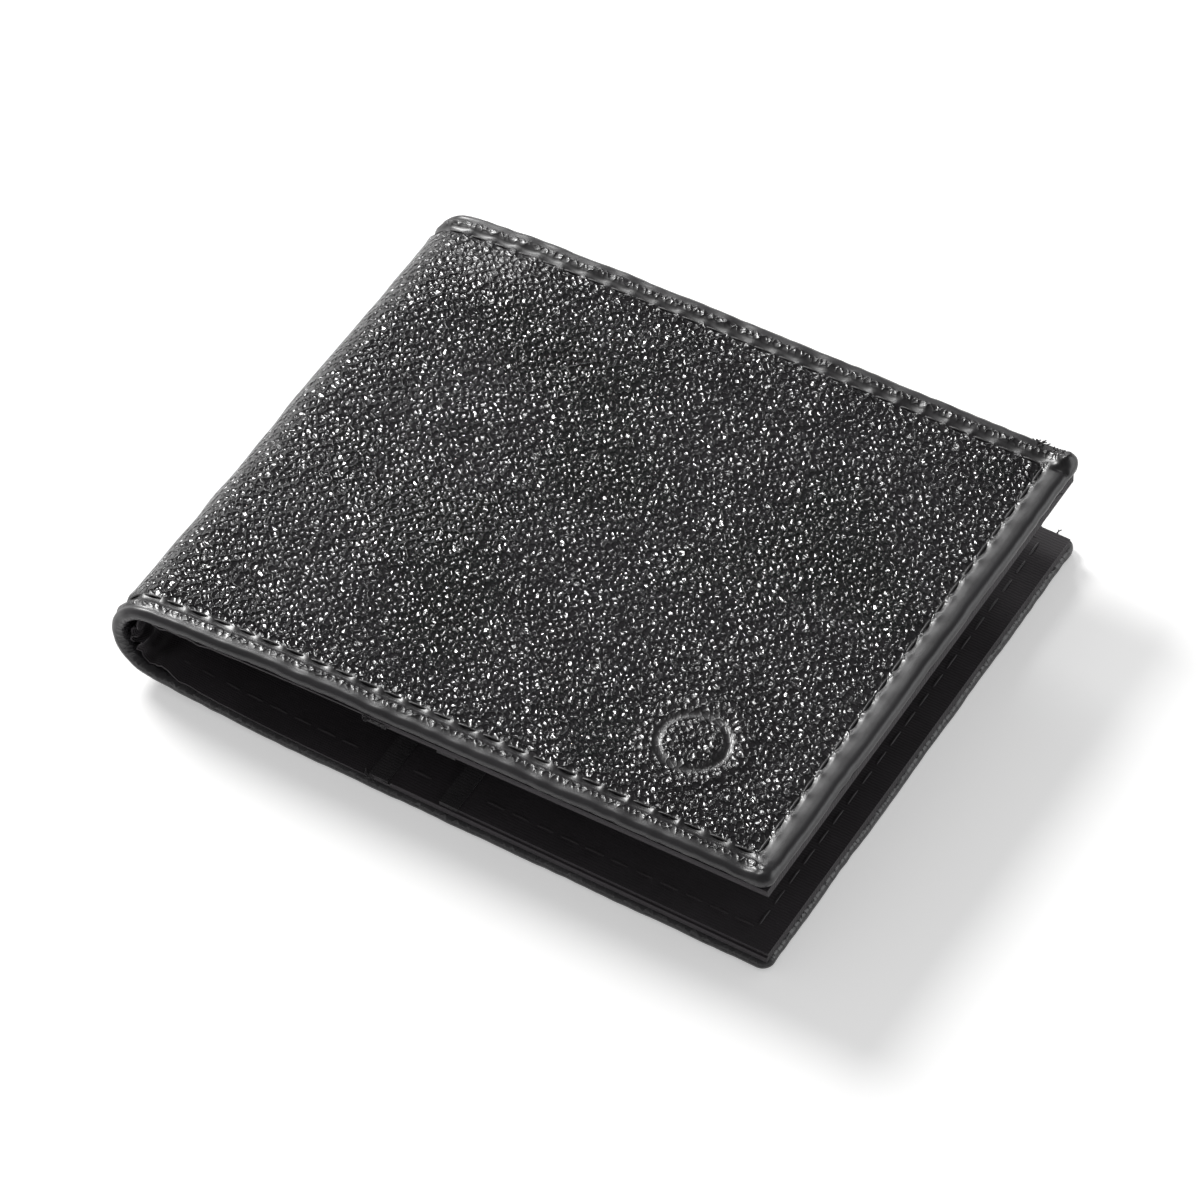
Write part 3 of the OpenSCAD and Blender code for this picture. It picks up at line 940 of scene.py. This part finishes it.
def thread_tree():
    """Lays one short thread on each point, along the point's aim and bowed towards its face."""
    found = bpy.data.node_groups.get("short_threads")
    if found:
        return found
    tree = bpy.data.node_groups.new("short_threads", "GeometryNodeTree")
    face = tree.interface
    face.new_socket("Points", in_out="INPUT", socket_type="NodeSocketGeometry")
    defaults = (("Length", STITCH_L), ("Thickness", 0.4 * MM), ("Bow", 0.12 * MM), ("Unevenness", 0.08))
    for name, value in defaults:
        socket = face.new_socket(name, in_out="INPUT", socket_type="NodeSocketFloat")
        socket.default_value = value
    seed = face.new_socket("Seed", in_out="INPUT", socket_type="NodeSocketInt")
    seed.default_value = 7
    face.new_socket("Finish", in_out="INPUT", socket_type="NodeSocketMaterial")
    face.new_socket("Threads", in_out="OUTPUT", socket_type="NodeSocketGeometry")
    net = Net(tree)
    given = net.add("NodeGroupInput").socket.node

    def wanted(name):
        return Val(net, given.outputs[name])

    half = wanted("Length") * 0.5
    start = net.add("ShaderNodeCombineXYZ", {}, {0: half * -1.0})
    stop = net.add("ShaderNodeCombineXYZ", {}, {0: half})
    core = net.add("GeometryNodeCurvePrimitiveLine", {}, {"Start": start, "End": stop})
    core = net.add("GeometryNodeResampleCurve", {}, {"Curve": core, "Count": 6})
    way = net.add("GeometryNodeSplineParameter") * 2.0 - 1.0
    drop = net.add("ShaderNodeCombineXYZ", {}, {2: way * way * wanted("Bow") * -1.0})
    core = net.add("GeometryNodeSetPosition", {}, {"Geometry": core, "Offset": drop})
    plump = (1.02 - way * way * way * way).at_least(0.05) ** 0.5
    core = net.add("GeometryNodeSetCurveRadius", {}, {"Curve": core, "Radius": plump})
    round_it = {"Resolution": 6, "Radius": wanted("Thickness") * 0.5}
    ring = net.add("GeometryNodeCurvePrimitiveCircle", {}, round_it)
    tube = {"Curve": core, "Profile Curve": ring, "Fill Caps": True}
    body = net.add("GeometryNodeCurveToMesh", {}, tube)
    body = net.add("GeometryNodeSetShadeSmooth", {}, {"Geometry": body})
    aim, face_to = (
        net.add("GeometryNodeInputNamedAttribute", {"data_type": "FLOAT_VECTOR"}, {"Name": name})
        for name in ("aim", "face_to")
    )
    align = "FunctionNodeAlignRotationToVector"
    turn = net.add(align, {"axis": "X"}, {"Vector": aim})
    turn = net.add(align, {"axis": "Z", "pivot_axis": "X"}, {"Rotation": turn, "Vector": face_to})
    spread = wanted("Unevenness")
    limits = {2: 1.0 - spread, 3: 1.0 + spread, "Seed": wanted("Seed")}
    size = net.add("FunctionNodeRandomValue", {"data_type": "FLOAT"}, limits, out=1)
    laying = {"Points": wanted("Points"), "Instance": body, "Rotation": turn, "Scale": size}
    laid = net.add("GeometryNodeInstanceOnPoints", {}, laying)
    real = net.add("GeometryNodeRealizeInstances", {}, {"Geometry": laid})
    real = net.add("GeometryNodeSetMaterial", {}, {"Geometry": real, "Material": wanted("Finish")})
    net.add("NodeGroupOutput", {}, {0: real})
    return tree


def threads(name, points, aims, faces_to, finish, **sizes):
    """Short threads on the given points, as one plain mesh."""
    mesh = bpy.data.meshes.new(name + "_points")
    mesh.from_pydata(np.asarray(points).tolist(), [], [])
    for key, values in (("aim", aims), ("face_to", faces_to)):
        layer = mesh.attributes.new(key, "FLOAT_VECTOR", "POINT")
        layer.data.foreach_set("vector", np.asarray(values, np.float32).ravel())
    holder = shown(name + "_points", mesh)
    tree = thread_tree()
    modifier = holder.modifiers.new("short threads", "NODES")
    modifier.node_group = tree
    sockets = {item.name: item.identifier for item in tree.interface.items_tree if item.in_out == "INPUT"}
    modifier[sockets["Finish"]] = finish
    for key, value in sizes.items():
        modifier[sockets[key.capitalize()]] = value
    grown = holder.evaluated_get(bpy.context.evaluated_depsgraph_get())
    made = bpy.data.meshes.new_from_object(grown)
    made.name = name
    bpy.data.objects.remove(holder)
    bpy.data.meshes.remove(mesh)
    if len(made.polygons) < 10:
        raise RuntimeError(f"{name}: the threads came out empty")
    return shown(name, made)


# ---- Fitting pieces to the bodies ----


def settle(piece, part, line, depth, nodes):
    """Hangs part 0 or 4 of a layer on its body, bakes parts 1 to 3 in place without hanging them on any body,
    and hides the nodes that the part stands for.
    """
    if part in (0, 4):
        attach(piece, PARTS[part])
    else:
        start, end = line.place(np.array(line.strips[part - 1 : part + 1]), WALLET_H / 2, depth)
        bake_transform(piece)
    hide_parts(*nodes)


def settle_on_leaf(piece, leaf, slot, *nodes):
    """Hangs a piece on one leaf, and hides the nodes it stands for; the slot is not used."""
    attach(piece, f"{leaf}_leaf")
    if nodes:
        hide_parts(*nodes)


def stands_for(layer, part):
    """The nodes that part 0 to 4 of a layer stands for."""
    names = [f"{layer}_lower", f"{layer}_spine_lower", f"{layer}_spine_upper", f"{layer}_upper"]
    return ([names[0]], [names[0], names[1]], [names[1], names[2]], [names[2], names[3]], [names[3]])[part]


class WALLET_OT_cover(bpy.types.Operator):
    """Makes the leather cover, cut at the joints of the spine"""

    bl_idname = "wallet.cover"
    bl_label = "Leather cover"

    def execute(self, context):
        sizes, colours = context.scene.wallet_sizes, context.scene.wallet_colours
        line = FaceLine(sizes)
        finish = finish_named("pebbled_leather", leather_finish, sizes, colours)
        skin = CoverSkin(line)
        for part, name in enumerate(PARTS):
            piece = skin.piece(f"cover_{name}", part, finish)
            settle(piece, part, line, sizes.leather_t, stands_for("cover", part))
        return {"FINISHED"}


class WALLET_OT_boards(bpy.types.Operator):
    """Makes the board that stiffens each leaf"""

    bl_idname = "wallet.boards"
    bl_label = "Stiffener boards"

    def execute(self, context):
        line = FaceLine(context.scene.wallet_sizes)
        finish = finish_named("bonded_board", board_finish, context.scene.wallet_colours.board)
        low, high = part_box("stiffener_lower")
        across = from_to(low.y - FOOT_Y, (high.y - FOOT_Y, 8 * MM))
        for leaf in LEAVES:
            along = from_to(LOWER_BOX[1][0] - high.x, (LOWER_BOX[1][0] - low.x, 2 * MM))
            along = line.on_leaf(leaf, along)
            piece = sheet_mesh(f"board_{leaf}", line, along, across, low.z, high.z, finish)
            settle_on_leaf(piece, leaf, "stiffener_board", f"stiffener_{leaf}")
        return {"FINISHED"}


class WALLET_OT_cloth(bpy.types.Operator):
    """Makes the lining and the bill panel, which run round inside the spine"""

    bl_idname = "wallet.cloth"
    bl_label = "Lining and bill panel"

    def execute(self, context):
        sizes, colours = context.scene.wallet_sizes, context.scene.wallet_colours
        line = FaceLine(sizes)
        rib = sizes.rib * 0.8
        finish = finish_named("lining_weave", cloth_finish, colours.lining, rib, 0.05 * MM, 0.35)
        for layer, share in (("lining", 0.45), ("bill_panel", 1.0)):
            low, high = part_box(f"{layer}_lower")
            proud = PROUD if layer == "bill_panel" else 0.0
            start = LOWER_BOX[1][0] - high.x - proud
            foot, head = low.y - FOOT_Y - proud, high.y - FOOT_Y
            across = from_to(foot, (foot + 6 * MM, CLOTH_BY_FOOT), (head, CLOTH_STEP))
            wave, slide = self.looseness(line, share, foot, head)
            stops = [start, *line.strips, line.total - start]
            for part, name in enumerate(PARTS):
                step = CLOTH_STEP if part in (0, 4) else CLOTH_IN_FOLD
                along = from_to(stops[part], (stops[part + 1], step))
                depths = CLOTH_DEPTHS[layer]
                piece = sheet_mesh(f"{layer}_{name}", line, along, across, *depths, finish, wave, slide)
                settle(piece, part, line, sum(depths) / 2, stands_for(layer, part))
        return {"FINISHED"}

    def looseness(self, line, share, foot, head):
        """How the cloth waves and slides where it is loose in the fold."""

        def wave(a, b):
            """Loose waves, largest at the cloth's ends."""
            near_fold = hump(a - line.middle, 14 * MM)
            at_end = 0.3 + hump(b - foot, 7 * MM) + hump(head - b, 7 * MM)
            waves = 0.55 + 0.65 * ripple(a, b * 0.35, 6 * MM, 61) + 0.4 * ripple(a, b * 0.5, 2.6 * MM, 62)
            return line.sizes.crumple * share * near_fold * at_end * np.clip(waves, 0, None)

        def slide(a, b):
            """The end of the cloth wanders in and out."""
            near_fold = hump(a - line.middle, 15 * MM) * hump(b - foot, 3 * MM)
            wander = 0.75 * MM * ripple(a, b * 0, 4.2 * MM, 63) + 0.3 * MM * ripple(a, b * 0, 1.8 * MM, 64)
            return share * near_fold * (0.9 * MM + wander)

        return wave, slide


class WALLET_OT_pockets(bpy.types.Operator):
    """Makes the card pockets and the tapes on their mouths"""

    bl_idname = "wallet.pockets"
    bl_label = "Card pockets"

    def execute(self, context):
        sizes, colours = context.scene.wallet_sizes, context.scene.wallet_colours
        line = FaceLine(sizes)
        cloth = finish_named("ribbed_cloth", cloth_finish, colours.cloth, sizes.rib, 0.05 * MM, 0.25)
        tape = finish_named("ribbed_tape", cloth_finish, colours.tape, sizes.rib, 0.1 * MM, 0.4)
        for leaf in LEAVES:
            for which, under in (("back", "bill_panel"), ("front", "back_pocket")):
                tapes = self.sheet(line, leaf, f"{which}_tape", tape, "edge_tape", 0.03 * MM)
                pocket = self.sheet(line, leaf, f"{which}_pocket", cloth, "pocket_cloth", 0.0)
        return {"FINISHED"}

    def sheet(self, line, leaf, what, finish, slot, unevenness):
        """One pocket or tape, laid on its leaf."""
        low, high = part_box(f"{what}_lower")
        is_tape = "tape" in what
        thick = high.z - low.z if is_tape else POCKET_T
        over = TAPE_OVER if is_tape else 0.0
        start = LOWER_BOX[1][0] - high.x - (0.0 if is_tape else PROUD)
        stop = LOWER_BOX[1][0] - low.x
        foot = low.y - FOOT_Y - (PROUD if "back" in what else FRONT_PROUD) - over
        head = high.y - FOOT_Y + over
        seed = 71 + len(what) + 10 * LEAVES.index(leaf)
        mouth = line.total - stop if leaf == "upper" else stop

        def wave(a, b):
            """A mouth gapes a little between its stitched ends."""
            bow = np.sin(math.pi * np.clip((b - foot) / (head - foot), 0, 1)) ** 1.5
            return hump(a - mouth, 12 * MM) * bow * 0.35 * MM + unevenness * ripple(a, b, 9 * MM, seed)

        along = line.on_leaf(leaf, from_to(start, (stop, 1.0 * MM)))
        across = from_to(foot, (head, 1.0 * MM))
        name = f"{what}_{leaf}_leaf"
        piece = sheet_mesh(name, line, along, across, high.z - thick, high.z, finish, wave)
        settle_on_leaf(piece, leaf, slot, f"{what}_{leaf}")
        return piece


class WALLET_OT_seams(bpy.types.Operator):
    """Sews the outer seam and the pockets' seam, stitch by stitch"""

    bl_idname = "wallet.seams"
    bl_label = "Seams"

    def execute(self, context):
        sizes, colours = context.scene.wallet_sizes, context.scene.wallet_colours
        line = FaceLine(sizes)
        black = finish_named("waxed_thread", thread_finish, colours.thread, 0.5)
        grey = finish_named("grey_thread", thread_finish, colours.thread_in, 0.6)
        leaf_count, fold = sizes.stitches_along, sizes.stitches_fold
        counts = [0, leaf_count] + [leaf_count + fold * third // 3 for third in (1, 2, 3)]
        counts.append(2 * leaf_count + fold)
        sunk = sizes.seam_depth * 0.8
        for part, name in enumerate(PARTS):
            run = line.stitch_places(counts[part], counts[part + 1])
            rows = self.long_rows(line, run, sunk, 1)
            if part in (0, 4):
                rows = joined(rows, self.short_row(line, part == 4, sunk, 1))
            look = {"length": STITCH_L, "thickness": sizes.thread_t, "bow": 0.2 * MM, "seed": 11 + part}
            piece = threads(f"seam_thread_{name}", *rows, black, **look)
            settle(piece, part, line, 0.3 * MM, stands_for("seam_stitches", part))
        for number, leaf in enumerate(LEAVES):
            first = 0 if leaf == "lower" else leaf_count + fold
            run = line.stitch_places(first, first + leaf_count)
            from_open = run if leaf == "lower" else line.total - run
            clear = self.clear_of_tapes(LOWER_BOX[1][0] - from_open)
            depth = self.pocket_face(LOWER_BOX[1][0] - from_open[clear])
            rows = self.long_rows(line, run[clear], depth, -1)
            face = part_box("front_pocket_lower")[1].z + THREAD_OFF
            rows = joined(rows, self.short_row(line, leaf == "upper", face, -1))
            look = {"length": STITCH_L, "thickness": sizes.thread_t, "bow": 0.16 * MM, "seed": 21 + number}
            piece = threads(f"pocket_thread_{leaf}_leaf", *rows, grey, **look)
            settle_on_leaf(piece, leaf, "seam_thread", f"pocket_stitches_{leaf}")
        return {"FINISHED"}

    def clear_of_tapes(self, x):
        """Which stitches miss the tapes, by their places on the lower leaf."""
        clear = np.ones(len(x), bool)
        for which in ("back", "front"):
            low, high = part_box(f"{which}_tape_lower")
            clear &= (x <= low.x - 2 * MM) | (x >= high.x + 2 * MM)
        return clear

    def pocket_face(self, x):
        """The depth of the innermost cloth, by the place on the lower leaf."""
        face = np.full_like(x, CLOTH_DEPTHS["bill_panel"][1])
        for which in ("back", "front"):
            low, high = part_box(f"{which}_pocket_lower")
            face = np.where(x > low.x, high.z, face)
        return face + THREAD_OFF

    def long_rows(self, line, run, depth, out):
        """Stitches along the foot and the head."""
        inset = line.sizes.seam_inset
        forward, outward = line.facing(run)
        both = (line.place(run, across, depth) for across in (inset, WALLET_H - inset))
        return joined(*((points, forward, outward * out) for points in both))

    def short_row(self, line, upper, depth, out):
        """Stitches beside an open edge."""
        inset, count = line.sizes.seam_inset, line.sizes.stitches_across
        along = line.total - inset if upper else inset
        across = inset + (np.arange(count) + 0.5) * (WALLET_H - 2 * inset) / count
        _, outward = line.facing(np.full_like(across, along))
        return line.place(along, across, depth), np.tile([0.0, 1.0, 0.0], (count, 1)), outward * out


class WALLET_OT_frays(bpy.types.Operator):
    """Frays the pockets' cut ends and the leaves' head corners"""

    bl_idname = "wallet.frays"
    bl_label = "Frayed ends"

    def execute(self, context):
        line = FaceLine(context.scene.wallet_sizes)
        finish = finish_named("frayed_fibre", thread_finish, context.scene.wallet_colours.fray, 0.7)
        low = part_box("back_pocket_lower")[0]
        mouth, foot = LOWER_BOX[1][0] - low.x, low.y - FOOT_Y - 0.5 * MM
        for number, leaf in enumerate(LEAVES):
            upper = leaf == "upper"
            dice = np.random.default_rng(301 + number)
            rows = []
            for from_open, across, depth, spread, count in (
                (mouth, foot, 3.0 * MM, 0.9 * MM, 16),
                (mouth - 2.5 * MM, foot, 3.2 * MM, 1.4 * MM, 8),
                (7.0 * MM, WALLET_H - 0.9 * MM, 0.1 * MM if upper else 2.3 * MM, 1.1 * MM, 16),
                (3.6 * MM, WALLET_H - 1.3 * MM, 0.0 * MM if upper else 2.4 * MM, 1.3 * MM, 14),
                (0.9 * MM, WALLET_H - 7.0 * MM, 2.1 * MM, 0.9 * MM, 12),
            ):
                side = -1.0 if across < WALLET_H / 2 else 1.0
                for _ in range(count):
                    along = max(from_open + dice.normal(0, 0.5) * spread, 0.5 * MM)
                    along = line.total - along if upper else along
                    point = line.place(along, across + dice.normal(0, 0.25) * spread, depth)
                    aim = (dice.normal(0, 0.8), side * dice.uniform(0.1, 1.0), dice.normal(0, 0.5))
                    rows.append((point, aim, (dice.normal(), dice.normal(), dice.normal())))
            points, aims, faces_to = (np.array(same) for same in zip(*rows))
            aims = aims / np.linalg.norm(aims, axis=1)[:, None]
            faces_to = faces_to / np.linalg.norm(faces_to, axis=1)[:, None]
            look = {"length": 1.15 * MM, "thickness": 0.15 * MM, "bow": 0.25 * MM, "unevenness": 0.4}
            name = f"frayed_ends_{leaf}_leaf"
            piece = threads(name, points, aims, faces_to, finish, seed=31 + number, **look)
            settle_on_leaf(piece, leaf, "pocket_cloth")
        return {"FINISHED"}


class WALLET_OT_stage(bpy.types.Operator):
    """Sets the floor, the lights and the camera"""

    bl_idname = "wallet.stage"
    bl_label = "Stage"

    def execute(self, context):
        look = context.scene.wallet_stage
        self.floor(context.scene.wallet_colours.floor, look.floor_glow)
        for name, form in LIGHTS.items():
            self.light(f"{name}_light", getattr(look, name), *form)
        self.world(context, look.fill)
        self.camera(context, look)
        context.scene.view_settings.view_transform = "Standard"
        return {"FINISHED"}

    def floor(self, colour, glow):
        """A square of floor, just under the wallet."""
        low = CAD_BOX[0][2] - FLOOR_GAP
        corners = [(x * FLOOR_HALF, y * FLOOR_HALF, low) for x, y in ((-1, -1), (1, -1), (1, 1), (-1, 1))]
        finish = finish_named("matt_floor", floor_finish, colour, glow)
        mesh_of("floor", np.array(corners), [(0, 1, 2, 3)], finish=finish)

    def light(self, name, power, towards, distance, size, colour, shine_only):
        """A round soft light that looks at the wallet; one for shine only lights no matt surface."""
        lamp = bpy.data.lights.new(name, "AREA")
        lamp.shape = "DISK"
        lamp.size = size
        lamp.energy = power
        lamp.color = colour
        aim = Vector(towards).normalized()
        holder = shown(name, lamp, aim * distance, aim)
        holder.visible_diffuse = not shine_only

    def world(self, context, fill):
        """Light all round, weaker in what shines."""
        world = bpy.data.worlds.new("studio")
        context.scene.world = world
        world.use_nodes = True
        world.node_tree.nodes.clear()
        net = Net(world.node_tree)
        height = net.split(net.add("ShaderNodeTexCoord", {}, {}, out="Generated"))[2]
        shine = net.add("ShaderNodeLightPath", {}, {}, out="Is Glossy Ray")
        glow = net.step(height, 0.0, 0.75, 1.1, 0.8) * fill * (1.0 - shine * 0.75)
        shell = net.add("ShaderNodeBackground", {}, {"Color": (1.0, 1.0, 1.0, 1.0), "Strength": glow})
        net.add("ShaderNodeOutputWorld", {}, {"Surface": shell})

    def camera(self, context, look):
        """The camera, which looks down at the near corner."""
        a, e = look.azimuth, look.elevation
        back = Vector((math.sin(a) * math.cos(e), -math.cos(a) * math.cos(e), math.sin(e)))
        target = (CAD_BOX[0] + CAD_BOX[1]) / 2 + Vector(AIM_OFF)
        lens = bpy.data.cameras.new("camera")
        lens.lens = look.lens
        lens.sensor_width = 36
        lens.clip_start = 0.01
        context.scene.camera = shown("camera", lens, target + back * look.distance, back)


STEPS = (
    WALLET_OT_stage,
    WALLET_OT_cover,
    WALLET_OT_boards,
    WALLET_OT_cloth,
    WALLET_OT_pockets,
    WALLET_OT_seams,
    WALLET_OT_frays,
)


class WALLET_PT_sidebar(bpy.types.Panel):
    """Lists the wallet's steps, sizes and colours"""

    bl_idname = "WALLET_PT_sidebar"
    bl_label = "Wallet"
    bl_space_type = "VIEW_3D"
    bl_region_type = "UI"
    bl_category = "Wallet"

    def draw(self, context):
        for step in STEPS:
            self.layout.operator(step.bl_idname)
        scene = context.scene
        for group in (scene.wallet_sizes, scene.wallet_colours, scene.wallet_stage):
            box = self.layout.box()
            for name in group.__annotations__:
                box.prop(group, name)


CLASSES = (WalletSizes, WalletColours, WalletStage, *STEPS, WALLET_PT_sidebar)


def register():
    """Adds the wallet's classes and its three groups of properties"""
    for item in CLASSES:
        bpy.utils.register_class(item)
    bpy.types.Scene.wallet_sizes = PointerProperty(type=WalletSizes)
    bpy.types.Scene.wallet_colours = PointerProperty(type=WalletColours)
    bpy.types.Scene.wallet_stage = PointerProperty(type=WalletStage)


def unregister():
    """Takes them away again"""
    del bpy.types.Scene.wallet_stage
    del bpy.types.Scene.wallet_colours
    del bpy.types.Scene.wallet_sizes
    for item in reversed(CLASSES):
        bpy.utils.unregister_class(item)


def main():
    """Makes the whole wallet."""
    register()
    for step in STEPS:
        space, name = step.bl_idname.split(".")
        if getattr(getattr(bpy.ops, space), name)() != {"FINISHED"}:
            raise RuntimeError(f"{step.bl_label} wasn't finished")


if __name__ == "__main__":
    main()
